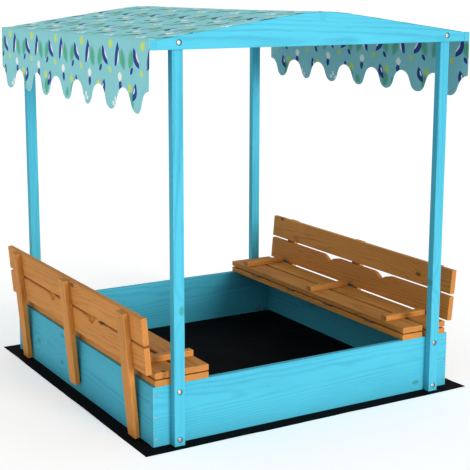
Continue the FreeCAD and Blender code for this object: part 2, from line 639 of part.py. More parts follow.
def make_hinges(side, frame):
    """Four hinges from the deck to the seat and three from the seat to the backrest."""
    seat_pin = ("seat_pin_side", "0", "seat_pin_height")
    first = "-(deck_hinge_count - 1) * deck_hinge_pitch / 2 - leaf_length / 2"
    row = ("deck_hinge_pitch", "deck_hinge_count")
    rows = ((f"{side}_deck_leaves", "deck_top - seat_pin_height", True),
            (f"{side}_seat_inner_leaves", "seat_under - leaf_thickness - seat_pin_height", False))
    for label, low, middle in rows:
        high = f"{low} + leaf_thickness"
        plate = (("-pin_clearance - leaf_width", low), ("-pin_clearance", high))
        tab = (("-pin_clearance", low), ("-knuckle_radius / 2", high))
        make_leaves(label, frame, seat_pin, first, [plate], [tab], middle, *row)
    back_pin = ("back_pin_side", "0", "back_pin_height")
    back_first = "-(back_hinge_count - 1) * back_batten_spacing / 2 - leaf_length / 2"
    back_row = ("back_batten_spacing", "back_hinge_count")
    edge = "bench_outer - back_pin_side"
    arm_low = "fold_clearance - pin_clearance"
    arm_high = f"{arm_low} + leaf_thickness"
    plate = ((f"{edge} - leaf_thickness", f"{arm_high} - edge_leaf_width"), (edge, arm_high))
    arm = (("knuckle_radius / 4", arm_low), (f"{edge} - leaf_thickness", arm_high))
    make_leaves(f"{side}_seat_outer_leaves", frame, back_pin, back_first, [plate], [arm], False, *back_row)
    turn = "rotation(vector(0; 1; 0); -90 - back_lean)"
    leaning_pin = f"{frame} * placement(vector(back_pin_side; 0; back_pin_height); {turn})"
    plate = (("-back_drop - leaf_thickness", "back_face"), ("-back_drop", "back_face + edge_leaf_width"))
    foot = (("-back_drop - leaf_thickness", "-leaf_thickness / 2"), ("-back_drop", "back_face"))
    neck = (("-back_drop", "-leaf_thickness / 2"), ("-pin_radius - pin_play - neck_gap", "leaf_thickness / 2"))
    make_leaves(f"{side}_back_leaves", leaning_pin, ("0", "0", "0"), back_first, [plate], [foot, neck],
                True, *back_row)
    body = new_body(f"{side}_hinge_pins", frame)
    pins = (("seat_pin", seat_pin, first, row), ("back_pin", back_pin, back_first, back_row))
    for name, pin, start, pitch in pins:
        circle = (pin[0], pin[2], "pin_radius")
        shaft = extrude(body, "Pad", name, "Y", start, "leaf_length", circles=[circle])
        repeat(body, "Y", *pitch, only=shaft)


# ---------------------------------------------------------------- the whole
def build():
    """Every piece, then the checks."""
    make_ground_sheet()
    for name, frame in (("front", "fixed"), ("rear", "turned")):
        make_end_panel(f"{name}_panel", frame)
        make_gable(f"{name}_gable", frame)
    for name, frame in (("left", "fixed"), ("right", "turned")):
        make_side_panel(f"{name}_panel", frame)
        make_eave_rail(f"{name}_eave_rail", frame)
    make_post("front_left_post", "fixed", "-post_middle")
    make_post("front_right_post", "fixed", "post_middle")
    make_post("rear_right_post", "turned", "-post_middle")
    make_post("rear_left_post", "turned", "post_middle")
    timber("ridge_beam", "fixed", ("-ridge_width / 2", "-roof_front", "roof_under + ridge_under"),
           ("ridge_width", "roof_length", "ridge_height"))
    make_canopy()
    make_corner_screws()
    make_roof_fasteners()
    make_deck_screws()
    for side, frame in (("left", "fixed"), ("right", "turned")):
        make_bench_boards(side, frame)
        make_seat_battens(side, frame)
        make_backrest(side, frame)
        make_hinges(side, frame)


def check_and_write():
    """Stop on any failed feature or shape, then write one file a piece."""
    doc.recompute()
    for thing in doc.Objects:
        if "Invalid" in thing.State or "Error" in thing.State:
            raise ValueError(f"{thing.Label}: {thing.State}")
    for piece in PIECES:
        if piece.Shape.isNull() or not piece.Shape.isValid() or not piece.Shape.Solids:
            raise ValueError(f"{piece.Label}: bad shape")
    os.makedirs("parts", exist_ok=True)
    for piece in PIECES:
        piece.Shape.exportStep(f"parts/{piece.Label}.step")
    print(len(PIECES), "pieces; lean", value("back_lean"))


build()
check_and_write()
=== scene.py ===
import bmesh
import bpy
import json
import math
from mathutils import Matrix, Vector, noise


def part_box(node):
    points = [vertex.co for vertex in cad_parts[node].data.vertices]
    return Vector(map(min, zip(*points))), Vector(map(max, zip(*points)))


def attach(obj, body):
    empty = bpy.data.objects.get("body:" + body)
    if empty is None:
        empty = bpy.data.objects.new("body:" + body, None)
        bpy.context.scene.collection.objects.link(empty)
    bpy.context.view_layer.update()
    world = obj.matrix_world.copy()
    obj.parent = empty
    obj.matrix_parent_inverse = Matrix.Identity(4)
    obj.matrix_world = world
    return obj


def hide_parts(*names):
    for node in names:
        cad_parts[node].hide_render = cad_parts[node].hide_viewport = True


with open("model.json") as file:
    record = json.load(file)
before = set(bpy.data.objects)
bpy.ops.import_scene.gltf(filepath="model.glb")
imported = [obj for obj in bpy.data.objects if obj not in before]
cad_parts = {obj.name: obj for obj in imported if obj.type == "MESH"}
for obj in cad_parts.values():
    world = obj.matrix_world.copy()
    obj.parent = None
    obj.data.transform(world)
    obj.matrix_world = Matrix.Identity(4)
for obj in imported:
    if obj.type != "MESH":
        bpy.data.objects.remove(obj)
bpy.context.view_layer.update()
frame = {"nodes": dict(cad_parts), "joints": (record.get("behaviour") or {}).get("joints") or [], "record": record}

NODES = frame["nodes"]
SCENE = bpy.context.scene

# ---------------------------------------------------------------- sizes, in metres
CROWN_RADIUS = 0.8            # the gables' round top
GABLE_THICKNESS = 0.020
RAIL_HEIGHT = 0.031
CLOTH_LIFT = 0.0009           # the canopy's middle above the timber it lies on
CLOTH_THICKNESS = 0.0008
EAVE_BEND = 0.004             # the fold over a rail
SLOPE_SAG = 0.006             # at mid-slope, halfway between the gables
RIDGE_SAG = 0.003             # beside the ridge beam
SCALLOPS = 7
SCALLOP_DEPTH = 0.0735
ARCH_RADIUS = 0.049
TIP_RADIUS = 0.041
SCALLOP_STEPS = 36            # columns of faces in one scallop
ROOF_STEPS = 34               # rows of faces from the ridge to the eave,
BEND_STEPS = 4                # over the fold at the rail
DROP_STEPS = 16               # and down the valance
HEM_INSET = 0.010             # from the cut edge to the stitches
SEAM_WIDTH = 0.012            # the cloth turned under at an edge
STITCH_PITCH = 0.006
STITCH_SHARE = 0.7            # a stitch's length as a share of the pitch
THREAD_RADIUS = 0.00035
GROUND_THICKNESS = 0.0008
GROUND_CLEARANCE = 0.00005    # above the floor
GROUND_STEPS = 170
FOLD_ANGLE = max(joint["range_deg"][1] for joint in frame["joints"] if "backrest" in joint["name"])
LEAN = math.radians(90 - FOLD_ANGLE)


# ---------------------------------------------------------------- pieces
def link_piece(name, mesh):
    """A new object in the scene."""
    piece = bpy.data.objects.new(name, mesh)
    SCENE.collection.objects.link(piece)
    return piece


def mesh_from(name, bm):
    """A mesh of the bmesh's faces, which is then freed."""
    mesh = bpy.data.meshes.new(name)
    bm.to_mesh(mesh)
    bm.free()
    return mesh


def apply_modifiers(piece):
    """The piece with its modifiers turned into plain mesh."""
    shown = piece.evaluated_get(bpy.context.evaluated_depsgraph_get())
    mesh = bpy.data.meshes.new_from_object(shown)
    mesh.name = piece.name
    piece.modifiers.clear()
    piece.data = mesh
    return piece


def thicken(piece, thickness):
    """Give a cloth its thickness, half to each side; a second material goes on the inner side."""
    shell = piece.modifiers.new("thickness", "SOLIDIFY")
    shell.thickness = thickness
    shell.offset = 0
    shell.material_offset = len(piece.data.materials) - 1
    return apply_modifiers(piece)


# ---------------------------------------------------------------- camera, floor and lights
CAMERA_PLACE = (-2.1517, -3.7150, 1.4375)
CAMERA_TURN = 0.5230          # to the right of straight back, in radians
CAMERA_TILT = 0.1907          # down from level
CAMERA_LENS = 88.72           # millimetres, on a 36 mm sensor
CAMERA_SHIFT = (0.0316, -0.05)
AMBIENT = 0.72                # light from the white surround
SUN_WAY = (-0.22, 0.96, -0.16)
SUN_STRENGTH = 2.2
SUN_WIDTH = 22                # degrees across, so that its shadows are soft
FLOOR_REACH = 40
FLOOR_GLOW = 0.29             # keeps the floor pale under the box


def linear(red, green, blue):
    """A screen colour from 0 to 255 as the linear colour a shader takes."""
    def one(value):
        part = value / 255
        return part / 12.92 if part <= 0.04045 else ((part + 0.055) / 1.055) ** 2.4
    return (one(red), one(green), one(blue), 1.0)


def make_camera():
    """The camera, a little higher than the ridge, left of the front, looking slightly down."""
    data = bpy.data.cameras.new("camera")
    data.sensor_width = 36
    data.lens = CAMERA_LENS
    data.shift_x, data.shift_y = CAMERA_SHIFT
    data.clip_end = 100
    camera = bpy.data.objects.new("camera", data)
    camera.location = CAMERA_PLACE
    camera.rotation_euler = (math.pi / 2 - CAMERA_TILT, 0, -CAMERA_TURN)
    SCENE.collection.objects.link(camera)
    SCENE.camera = camera


def make_sun():
    """One broad, soft sun from the front."""
    data = bpy.data.lights.new("front_light", "SUN")
    data.energy = SUN_STRENGTH
    data.angle = math.radians(SUN_WIDTH)
    light = bpy.data.objects.new("front_light", data)
    light.rotation_mode = "QUATERNION"
    light.rotation_quaternion = Vector(SUN_WAY).to_track_quat("-Z", "Y")
    SCENE.collection.objects.link(light)


def make_studio():
    """A pale floor, a white surround and one soft light from the front."""
    world = bpy.data.worlds.new("studio")
    world.use_nodes = True
    SCENE.world = world
    graph = Graph(world.node_tree)
    graph.nodes.clear()
    ambient = graph.node("ShaderNodeBackground", {"Color": (1, 1, 1, 1), "Strength": AMBIENT})
    backdrop = graph.node("ShaderNodeBackground", {"Color": (1, 1, 1, 1), "Strength": 1.0})
    path = graph.node("ShaderNodeLightPath")
    mix = graph.node("ShaderNodeMixShader", {0: path.outputs["Is Camera Ray"]})
    graph.links.new(ambient.outputs[0], mix.inputs[1])
    graph.links.new(backdrop.outputs[0], mix.inputs[2])
    end = graph.node("ShaderNodeOutputWorld")
    graph.links.new(mix.outputs[0], end.inputs["Surface"])
    make_sun()
    mesh = bpy.data.meshes.new("floor")
    corners = [(across * FLOOR_REACH, along * FLOOR_REACH, 0)
               for across, along in ((-1, -1), (1, -1), (1, 1), (-1, 1))]
    mesh.from_pydata(corners, [], [(0, 1, 2, 3)])
    floor = link_piece("floor", mesh)
    material, graph, shader = new_material("floor_paper")
    shader.inputs["Roughness"].default_value = 0.9
    tone = graph.noise(graph.place(), 3.0, 2.0)
    graph.feed(shader.inputs["Base Color"], graph.blend(tone, (0.90, 0.90, 0.90, 1), (0.92, 0.92, 0.92, 1)))
    shader.inputs["Emission Color"].default_value = (1, 1, 1, 1)
    shader.inputs["Emission Strength"].default_value = FLOOR_GLOW
    mesh.materials.append(material)
    SCENE.view_settings.view_transform = "Standard"
    return floor


# ---------------------------------------------------------------- shader building
class Graph:
    """Short ways to add and link nodes in one tree."""

    def __init__(self, tree):
        self.tree, self.nodes, self.links = tree, tree.nodes, tree.links

    def feed(self, socket, value):
        if isinstance(value, bpy.types.NodeSocket):
            self.links.new(value, socket)
        elif value is not None:
            socket.default_value = value

    def node(self, kind, inputs=None, **settings):
        made = self.nodes.new(kind)
        for name, setting in settings.items():
            setattr(made, name, setting)
        for name, value in (inputs or {}).items():
            self.feed(made.inputs[name], value)
        return made

    def math(self, operation, first, second=0.0, third=0.0):
        made = self.node("ShaderNodeMath", {0: first, 1: second, 2: third}, operation=operation)
        return made.outputs[0]

    def vector(self, operation, first, second=(0, 0, 0)):
        made = self.node("ShaderNodeVectorMath", {0: first, 1: second}, operation=operation)
        return made.outputs["Value"] if operation in ("LENGTH", "DISTANCE") else made.outputs["Vector"]

    def split(self, vector):
        return self.node("ShaderNodeSeparateXYZ", {0: vector}).outputs

    def join(self, across, along, up=0.0):
        return self.node("ShaderNodeCombineXYZ", {0: across, 1: along, 2: up}).outputs[0]

    def smooth(self, value, low, high, first=0.0, last=1.0):
        names = {"Value": value, "From Min": low, "From Max": high, "To Min": first, "To Max": last}
        return self.node("ShaderNodeMapRange", names, interpolation_type="SMOOTHSTEP").outputs[0]

    def blend(self, factor, first, second):
        made = self.node("ShaderNodeMix", {0: factor, 6: first, 7: second}, data_type="RGBA")
        return made.outputs[2]

    def noise(self, place, scale, detail=2.0, roughness=0.5):
        names = {"Vector": place, "Scale": scale, "Detail": detail, "Roughness": roughness}
        return self.node("ShaderNodeTexNoise", names).outputs[0]

    def place(self):
        return self.node("ShaderNodeTexCoord").outputs["Object"]

    def use(self, group, **inputs):
        made = self.node("ShaderNodeGroup", node_tree=group)
        for name, value in inputs.items():
            self.feed(made.inputs[name.replace("_", " ")], value)
        return made.outputs


def new_material(name):
    """An empty material with one Principled shader: (material, graph, shader)."""
    material = bpy.data.materials.new(name)
    material.use_nodes = True
    graph = Graph(material.node_tree)
    graph.nodes.clear()
    shader = graph.node("ShaderNodeBsdfPrincipled")
    end = graph.node("ShaderNodeOutputMaterial")
    graph.links.new(shader.outputs[0], end.inputs["Surface"])
    return material, graph, shader


SOCKETS = {"vector": "NodeSocketVector", "number": "NodeSocketFloat", "whole": "NodeSocketInt",
           "shape": "NodeSocketGeometry", "object": "NodeSocketObject", "material": "NodeSocketMaterial"}


def new_group(name, inputs, outputs, tree_kind="ShaderNodeTree"):
    """A node group with named sockets: (group, graph, its inputs, its output node).

    An input is (name, kind) or (name, kind, value), and an output is a name, for a number, or (name, kind).
    """
    group = bpy.data.node_groups.new(name, tree_kind)
    for socket, kind, *value in inputs:
        made = group.interface.new_socket(socket, in_out="INPUT", socket_type=SOCKETS[kind])
        if value:
            made.default_value = value[0]
    for output in outputs:
        socket, kind = (output, "number") if isinstance(output, str) else output
        group.interface.new_socket(socket, in_out="OUTPUT", socket_type=SOCKETS[kind])
    graph = Graph(group)
    entry = graph.node("NodeGroupInput").outputs
    return group, graph, entry, graph.node("NodeGroupOutput")


def bump(graph, shader, height, strength, distance):
    """Feed a height to the shader's normal."""
    made = graph.node("ShaderNodeBump", {"Height": height, "Strength": strength, "Distance": distance})
    graph.links.new(made.outputs[0], shader.inputs["Normal"])


# ---------------------------------------------------------------- wood
def timber_figure():
    """Growth rings, fibres and knots in a board whose grain runs along X and whose face is square to Z."""
    inputs = [("Place", "vector", (0, 0, 0)), ("Seed", "number", 0), ("Ring Width", "number", 0.006),
              ("Knots", "number", 0.5)]
    outputs = ["Figure", "Fibre", "Fleck", "Knot", "Drift", "Relief"]
    group, graph, entry, end = new_group("timber_figure", inputs, outputs)
    seed = graph.join(*(graph.math("MULTIPLY", entry["Seed"], step) for step in (3.1, 1.7, 2.3)))
    place = entry["Place"]
    shifted = graph.vector("ADD", place, seed)

    def stretched(scales, detail, roughness=0.5):
        """Noise with its own scale along, across and through the board."""
        return graph.noise(graph.vector("MULTIPLY", shifted, scales), 1.0, detail, roughness)

    drift = stretched((1.3, 6, 6), 3.0)
    cell_place = graph.vector("MULTIPLY", shifted, (4.2, 8.5, 0))
    cells = graph.node("ShaderNodeTexVoronoi", {"Vector": cell_place, "Scale": 1.0},
                       voronoi_dimensions="2D")
    chosen = graph.math("LESS_THAN", graph.split(cells.outputs["Color"])[0], entry["Knots"])
    near = graph.math("MULTIPLY", graph.smooth(cells.outputs["Distance"], 0.42, 0.04), chosen)
    knot = graph.math("MULTIPLY", graph.smooth(cells.outputs["Distance"], 0.085, 0.045), chosen)
    along, across, up = graph.split(place)
    swing = graph.math("SINE", graph.math("MULTIPLY", entry["Seed"], 7.7))
    # The rings circle the tree's pith, which lies under the board and a little to one side.
    offset = graph.math("MULTIPLY_ADD", swing, 0.030, across)
    depth = graph.math("ADD", up, 0.065)
    radius = graph.math("SQRT", graph.math("ADD", graph.math("POWER", offset, 2.0),
                                           graph.math("POWER", depth, 2.0)))
    # Taper, slant, slow wander, ripples and the swelling round a knot bend them.
    slant = graph.math("MULTIPLY", swing, 0.30)
    field = graph.math("MULTIPLY_ADD", along, 0.014, radius)
    ripple = stretched((7, 24, 24), 2.0)
    for value, amount in ((across, slant), (drift, 0.038), (ripple, 0.006), (near, 0.015)):
        field = graph.math("MULTIPLY_ADD", value, amount, field)
    turns = graph.math("MULTIPLY", graph.math("DIVIDE", field, entry["Ring Width"]), 2 * math.pi)
    wave = graph.math("MULTIPLY_ADD", graph.math("SINE", turns), 0.5, 0.5)
    patches = graph.smooth(stretched((3, 14, 14), 2.0), 0.25, 0.75, 0.25, 1.0)
    figure = graph.math("MULTIPLY", graph.math("POWER", wave, 3.0), patches)
    fibre = stretched((9, 420, 420), 3.0, 0.6)
    fleck = graph.smooth(stretched((14, 190, 190), 2.0), 0.60, 0.74)
    relief = graph.math("MULTIPLY_ADD", fibre, 0.5, graph.math("MULTIPLY", figure, 0.5))
    relief = graph.math("MULTIPLY_ADD", knot, -0.4, relief)
    for name, value in zip(outputs, (figure, fibre, fleck, knot, drift, relief)):
        graph.feed(end.inputs[name], value)
    return group


def edge_wear():
    """A ragged mask along the edges of a box whose middle is at zero."""
    inputs = [("Place", "vector", (0, 0, 0)), ("Half Size", "vector", (1, 1, 1)),
              ("Width", "number", 0.003)]
    group, graph, entry, end = new_group("edge_wear", inputs, ["Wear"])
    inside = graph.vector("SUBTRACT", entry["Half Size"], graph.vector("ABSOLUTE", entry["Place"]))
    gaps = graph.split(inside)
    low = graph.math("MINIMUM", gaps[0], graph.math("MINIMUM", gaps[1], gaps[2]))
    high = graph.math("MAXIMUM", gaps[0], graph.math("MAXIMUM", gaps[1], gaps[2]))
    total = graph.math("ADD", gaps[0], graph.math("ADD", gaps[1], gaps[2]))
    middle = graph.math("SUBTRACT", graph.math("SUBTRACT", total, low), high)
    ragged = graph.noise(entry["Place"], 55.0, 4.0, 0.65)
    near = graph.smooth(middle, entry["Width"], 0.0)
    graph.feed(end.inputs["Wear"], graph.math("MULTIPLY", near, graph.smooth(ragged, 0.42, 0.66)))
    return group


def piece_axes(name):
    """Directions of a timber piece: along its grain, across its face and out of its face."""
    low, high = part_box(name)
    if "_back_" in name:
        side = -1 if name.startswith("left") else 1
        up = Vector((side * math.sin(LEAN), 0, math.cos(LEAN)))
        out = Vector((side * math.cos(LEAN), 0, -math.sin(LEAN)))
        grain = Vector((0, 1, 0)) if name.endswith("_board") else up
        return grain, out.cross(grain), out
    spans = sorted(range(3), key=lambda axis: low[axis] - high[axis])
    grain, out = Vector((0, 0, 0)), Vector((0, 0, 0))
    grain[spans[0]] = 1
    out[spans[2]] = 1
    return grain, out.cross(grain), out


def piece_frame(name):
    """Middle, turn and half size of a timber piece in its own axes."""
    axes = piece_axes(name)
    turn = Matrix(axes).transposed()
    spots = [vertex.co for vertex in NODES[name].data.vertices]
    reach = [sorted(spot.dot(axis) for spot in spots) for axis in axes]
    middle = turn @ Vector([(row[0] + row[-1]) / 2 for row in reach])
    return middle, turn.to_euler(), [(row[-1] - row[0]) / 2 for row in reach]


# Colours of each stain, its roughness, and how strong each effect of the wood is through it.
STAINS = {
    "blue_wood": {"light": linear(72, 180, 204), "dark": linear(44, 142, 172), "knot": linear(54, 138, 128),
                  "bare": linear(120, 194, 204), "end": linear(66, 168, 194), "rough": 0.66, "figure": 0.46,
                  "fibre": 0.34, "fleck": 0.26, "relief": 0.25, "knots": 0.26},
    "brown_wood": {"light": linear(210, 142, 66), "dark": linear(140, 82, 32), "knot": linear(84, 44, 18),
                   "bare": linear(220, 164, 98), "end": linear(176, 110, 50), "rough": 0.66, "figure": 0.40,
                   "fibre": 0.36, "fleck": 0.42, "relief": 0.30, "knots": 0.20},
}


def paint_timber(name, stain_name, figure_group, wear_group, seed):
    """Give a timber piece its own cut of wood under its stain."""
    stain = STAINS[stain_name]
    middle, turn, half = piece_frame(name)
    material, graph, shader = new_material(f"{name}_{stain_name}")
    names = {"Vector": graph.place(), "Location": middle, "Rotation": turn}
    place = graph.node("ShaderNodeMapping", names, vector_type="TEXTURE").outputs[0]
    rings = 0.0085 + 0.0045 * (seed % 5) / 4  # five widths of growth ring, shared out in turn
    wood = graph.use(figure_group, Place=place, Seed=float(seed), Ring_Width=rings, Knots=stain["knots"])
    worn = graph.use(wear_group, Place=place, Half_Size=half, Width=0.0042)["Wear"]
    shade = graph.smooth(wood["Drift"], 0.30, 0.72, -0.16, 0.10)
    for effect in ("Figure", "Fibre", "Fleck"):
        shade = graph.math("MULTIPLY_ADD", wood[effect], stain[effect.lower()], shade)
    colour = graph.blend(shade, stain["light"], stain["dark"])
    colour = graph.blend(graph.math("MULTIPLY", wood["Knot"], 0.78), colour, stain["knot"])
    ends = graph.math("SUBTRACT", half[0], graph.math("ABSOLUTE", graph.split(place)[0]))
    colour = graph.blend(graph.smooth(ends, 0.0012, 0.0004, 0.0, 0.55), colour, stain["end"])
    colour = graph.blend(graph.math("MULTIPLY", worn, 0.40), colour, stain["bare"])
    graph.feed(shader.inputs["Base Color"], colour)
    rough = graph.math("MULTIPLY_ADD", wood["Fibre"], 0.20, stain["rough"] - 0.10)
    graph.feed(shader.inputs["Roughness"], graph.math("MULTIPLY_ADD", worn, 0.12, rough))
    shader.inputs["Specular IOR Level"].default_value = 0.22
    bump(graph, shader, wood["Relief"], stain["relief"], 0.0006)
    use_material(NODES[name], material)


def use_material(piece, material):
    """Put one material in every slot of a piece."""
    if not piece.data.materials:
        piece.data.materials.append(material)
    for number in range(len(piece.data.materials)):
        piece.data.materials[number] = material


# ---------------------------------------------------------------- metal
def plated_steel():
    """Fine streaks and blotches of plated steel."""
    inputs = [("Place", "vector", (0, 0, 0)), ("Scale", "number", 400)]
    group, graph, entry, end = new_group("plated_steel", inputs, ["Streak", "Blotch"])
    drawn_out = graph.vector("MULTIPLY", entry["Place"], (1, 0.15, 1))
    graph.feed(end.inputs["Streak"], graph.noise(drawn_out, entry["Scale"], 3.0, 0.6))
    graph.feed(end.inputs["Blotch"], graph.noise(entry["Place"], 90.0, 3.0, 0.55))
    return group


def metal_material(name, bright, dull, group, rough):
    """Zinc-plated steel with duller patches."""
    material, graph, shader = new_material(name)
    steel = graph.use(group, Place=graph.place())
    blotch = graph.smooth(steel["Blotch"], 0.35, 0.65)
    graph.feed(shader.inputs["Base Color"], graph.blend(blotch, bright, dull))
    shader.inputs["Metallic"].default_value = 0.7
    graph.feed(shader.inputs["Roughness"], graph.math("MULTIPLY_ADD", steel["Streak"], 0.22, rough))
    bump(graph, shader, steel["Streak"], 0.15, 0.0002)
    return material


# ---------------------------------------------------------------- cloth materials
def plain_weave():
    """Over-and-under threads, from a place in metres on the flat cloth."""
    inputs = [("Place", "vector", (0, 0, 0)), ("Pitch", "number", 0.001)]
    group, graph, entry, end = new_group("plain_weave", inputs, ["Threads", "Slub"])
    waves = [graph.math("SINE", graph.math("DIVIDE", graph.math("MULTIPLY", way, math.pi), entry["Pitch"]))
             for way in graph.split(entry["Place"])[:2]]
    threads = graph.math("MULTIPLY_ADD", graph.math("MULTIPLY", *waves), 0.5, 0.5)
    graph.feed(end.inputs["Threads"], threads)
    slubs = [graph.noise(graph.vector("MULTIPLY", entry["Place"], scales), 1.0, 2.0)
             for scales in ((60, 900, 1), (900, 60, 1))]
    graph.feed(end.inputs["Slub"], graph.math("MULTIPLY", graph.math("ADD", *slubs), 0.5))
    return group


def leaf_shape():
    """A mask shaped as a pointed leaf, bent sideways by Bend."""
    inputs = [("Place", "vector", (0, 0, 0)), ("Middle", "vector", (0, 0, 0)), ("Turn", "number", 0),
              ("Half Length", "number", 0.03), ("Half Width", "number", 0.01), ("Bend", "number", 0),
              ("Softness", "number", 0.001)]
    group, graph, entry, end = new_group("leaf_shape", inputs, ["Mask"])
    moved = graph.vector("SUBTRACT", entry["Place"], entry["Middle"])
    turned = graph.node("ShaderNodeVectorRotate", {"Vector": moved, "Angle": entry["Turn"]},
                        rotation_type="Z_AXIS").outputs[0]
    across, along = graph.split(turned)[:2]
    part = graph.math("POWER", graph.math("DIVIDE", along, entry["Half Length"]), 2.0)
    bow = graph.math("MULTIPLY", part, entry["Half Length"])
    bent = graph.math("MULTIPLY_ADD", bow, entry["Bend"], across)
    width = graph.math("MULTIPLY", graph.math("SUBTRACT", 1.0, part), entry["Half Width"])
    inside = graph.math("SUBTRACT", width, graph.math("ABSOLUTE", bent))
    soft = entry["Softness"]
    graph.feed(end.inputs["Mask"], graph.smooth(inside, graph.math("MULTIPLY", soft, -1.0), soft))
    return group


def print_tile():
    """A place in a staggered repeat, counted from each tile's middle."""
    inputs = [("Place", "vector", (0, 0, 0)), ("Tile Width", "number", 0.2),
              ("Tile Height", "number", 0.2)]
    group, graph, entry, end = new_group("print_tile", inputs, [("Local", "vector")])
    across, along = graph.split(entry["Place"])[:2]
    rows = graph.math("DIVIDE", along, entry["Tile Height"])
    row = graph.math("FLOOR", rows)
    columns = graph.math("MULTIPLY_ADD", row, 0.5, graph.math("DIVIDE", across, entry["Tile Width"]))
    parts = [graph.math("SUBTRACT", graph.math("FRACT", part), 0.5) for part in (columns, rows)]
    local = graph.join(graph.math("MULTIPLY", parts[0], entry["Tile Width"]),
                       graph.math("MULTIPLY", parts[1], entry["Tile Height"]))
    graph.feed(end.inputs["Local"], local)
    return group


# Each leaf of the repeat: colour, middle, turn in degrees, half length, half width, bend, softness.
LEAVES = [
    ("green", (-0.090, 0.048), 18, 0.0310, 0.0172, 0.10, 0.0085),
    ("green", (0.078, 0.046), -16, 0.0344, 0.0181, -0.10, 0.0085),
    ("navy", (-0.056, 0.052), -34, 0.0370, 0.0151, -0.16, 0.0009),
    ("navy", (0.040, 0.058), 16, 0.0413, 0.0159, 0.18, 0.0009),
    ("white", (-0.046, 0.056), -34, 0.0224, 0.0043, -0.18, 0.0008),
    ("white", (0.048, 0.050), 16, 0.0258, 0.0048, 0.20, 0.0008),
    ("navy", (-0.086, 0.014), 40, 0.0155, 0.0077, 0.0, 0.0009),
    ("lime", (-0.008, 0.092), 30, 0.0166, 0.0135, 0.0, 0.0026),
    ("lime", (-0.016, 0.010), -50, 0.0135, 0.0090, 0.0, 0.0026),
    ("green", (-0.094, -0.078), -10, 0.0292, 0.0172, -0.12, 0.0085),
    ("navy", (-0.066, -0.052), 24, 0.0310, 0.0146, 0.16, 0.0009),
    ("white", (-0.070, -0.046), 24, 0.0120, 0.0040, 0.16, 0.0008),
    ("lime", (-0.103, -0.040), 10, 0.0158, 0.0131, 0.0, 0.0026),
    ("navy", (0.060, -0.034), -6, 0.0181, 0.0108, 0.10, 0.0009),
    ("white", (0.057, -0.008), 5, 0.0155, 0.0142, 0.0, 0.0010),
    ("white", (0.024, -0.080), 0, 0.0108, 0.0065, 0.0, 0.0010),
    ("white", (0.039, -0.092), 62, 0.0108, 0.0065, 0.0, 0.0010),
    ("white", (0.010, -0.094), -62, 0.0108, 0.0065, 0.0, 0.0010),
    ("green", (0.086, -0.088), 34, 0.0206, 0.0112, 0.10, 0.0085),
]
TILE = (0.228, 0.236)
PRINT_START = (0.082, 0.145)
# The inner inks are darker copies of the outer ones: painted shade on the canopy's underside.
INKS = {
    "outer": {"ground": linear(144, 216, 222), "green": linear(72, 176, 132), "navy": linear(30, 58, 146),
              "white": linear(250, 253, 253), "lime": linear(206, 232, 104)},
    "inner": {"ground": linear(126, 190, 200), "green": linear(74, 156, 118), "navy": linear(30, 50, 126),
              "white": linear(222, 230, 228), "lime": linear(178, 200, 88)},
}


def canopy_material(side, weave_group, leaf_group, tile_group):
    """Coated cloth with a staggered print of leaves; side is outer or inner, whose darker inks paint the shade
    under the canopy.
    """
    inks = INKS[side]
    material, graph, shader = new_material(f"canopy_cloth_{side}")
    place = graph.node("ShaderNodeUVMap", uv_map="cloth").outputs[0]
    wobble = graph.noise(place, 30.0, 2.0)
    local = graph.use(tile_group, Place=place, Tile_Width=TILE[0], Tile_Height=TILE[1])["Local"]
    local = graph.vector("ADD", local, graph.join(graph.math("MULTIPLY_ADD", wobble, 0.006, -0.003), 0.0))
    cloud = graph.smooth(graph.noise(place, 9.0, 3.0), 0.3, 0.7, 0.0, 0.35)
    deeper = tuple(part * 0.9 for part in inks["ground"][:3]) + (1,)
    colour = graph.blend(cloud, inks["ground"], deeper)
    for ink, middle, turn, length, width, bend, soft in LEAVES:
        mask = graph.use(leaf_group, Place=local, Middle=(*middle, 0), Turn=math.radians(turn),
                         Half_Length=length, Half_Width=width, Bend=bend, Softness=soft)["Mask"]
        strength = 0.85 if ink == "green" else 0.97
        colour = graph.blend(graph.math("MULTIPLY", mask, strength), colour, inks[ink])
    weave = graph.use(weave_group, Place=place, Pitch=0.0009)
    shade = graph.math("MULTIPLY_ADD", weave["Threads"], 0.10, graph.math("MULTIPLY", weave["Slub"], 0.12))
    darker = graph.vector("MULTIPLY", colour, (0.82, 0.84, 0.85))
    graph.feed(shader.inputs["Roughness"], graph.math("MULTIPLY_ADD", weave["Threads"], 0.10, 0.70))
    shader.inputs["Specular IOR Level"].default_value = 0.15
    edge = graph.node("ShaderNodeAttribute", attribute_name="hem").outputs["Fac"]
    double = graph.smooth(edge, SEAM_WIDTH, SEAM_WIDTH - 0.0016)
    # Painted shade: a thin darker line where the turned-under hem ends, standing in for the shade of that step.
    hem_edge_shade = graph.math("MULTIPLY", graph.smooth(edge, SEAM_WIDTH + 0.003, SEAM_WIDTH),
                           graph.smooth(edge, SEAM_WIDTH - 0.004, SEAM_WIDTH - 0.001))
    inked = graph.blend(graph.math("SUBTRACT", 0.24, shade), colour, darker)
    hem_shaded = graph.blend(graph.math("MULTIPLY", hem_edge_shade, 0.45), inked, darker)
    graph.feed(shader.inputs["Base Color"], hem_shaded)
    height = graph.math("MULTIPLY_ADD", double, 3.0, graph.math("ADD", weave["Threads"], weave["Slub"]))
    bump(graph, shader, height, 0.35, 0.0002)
    return material


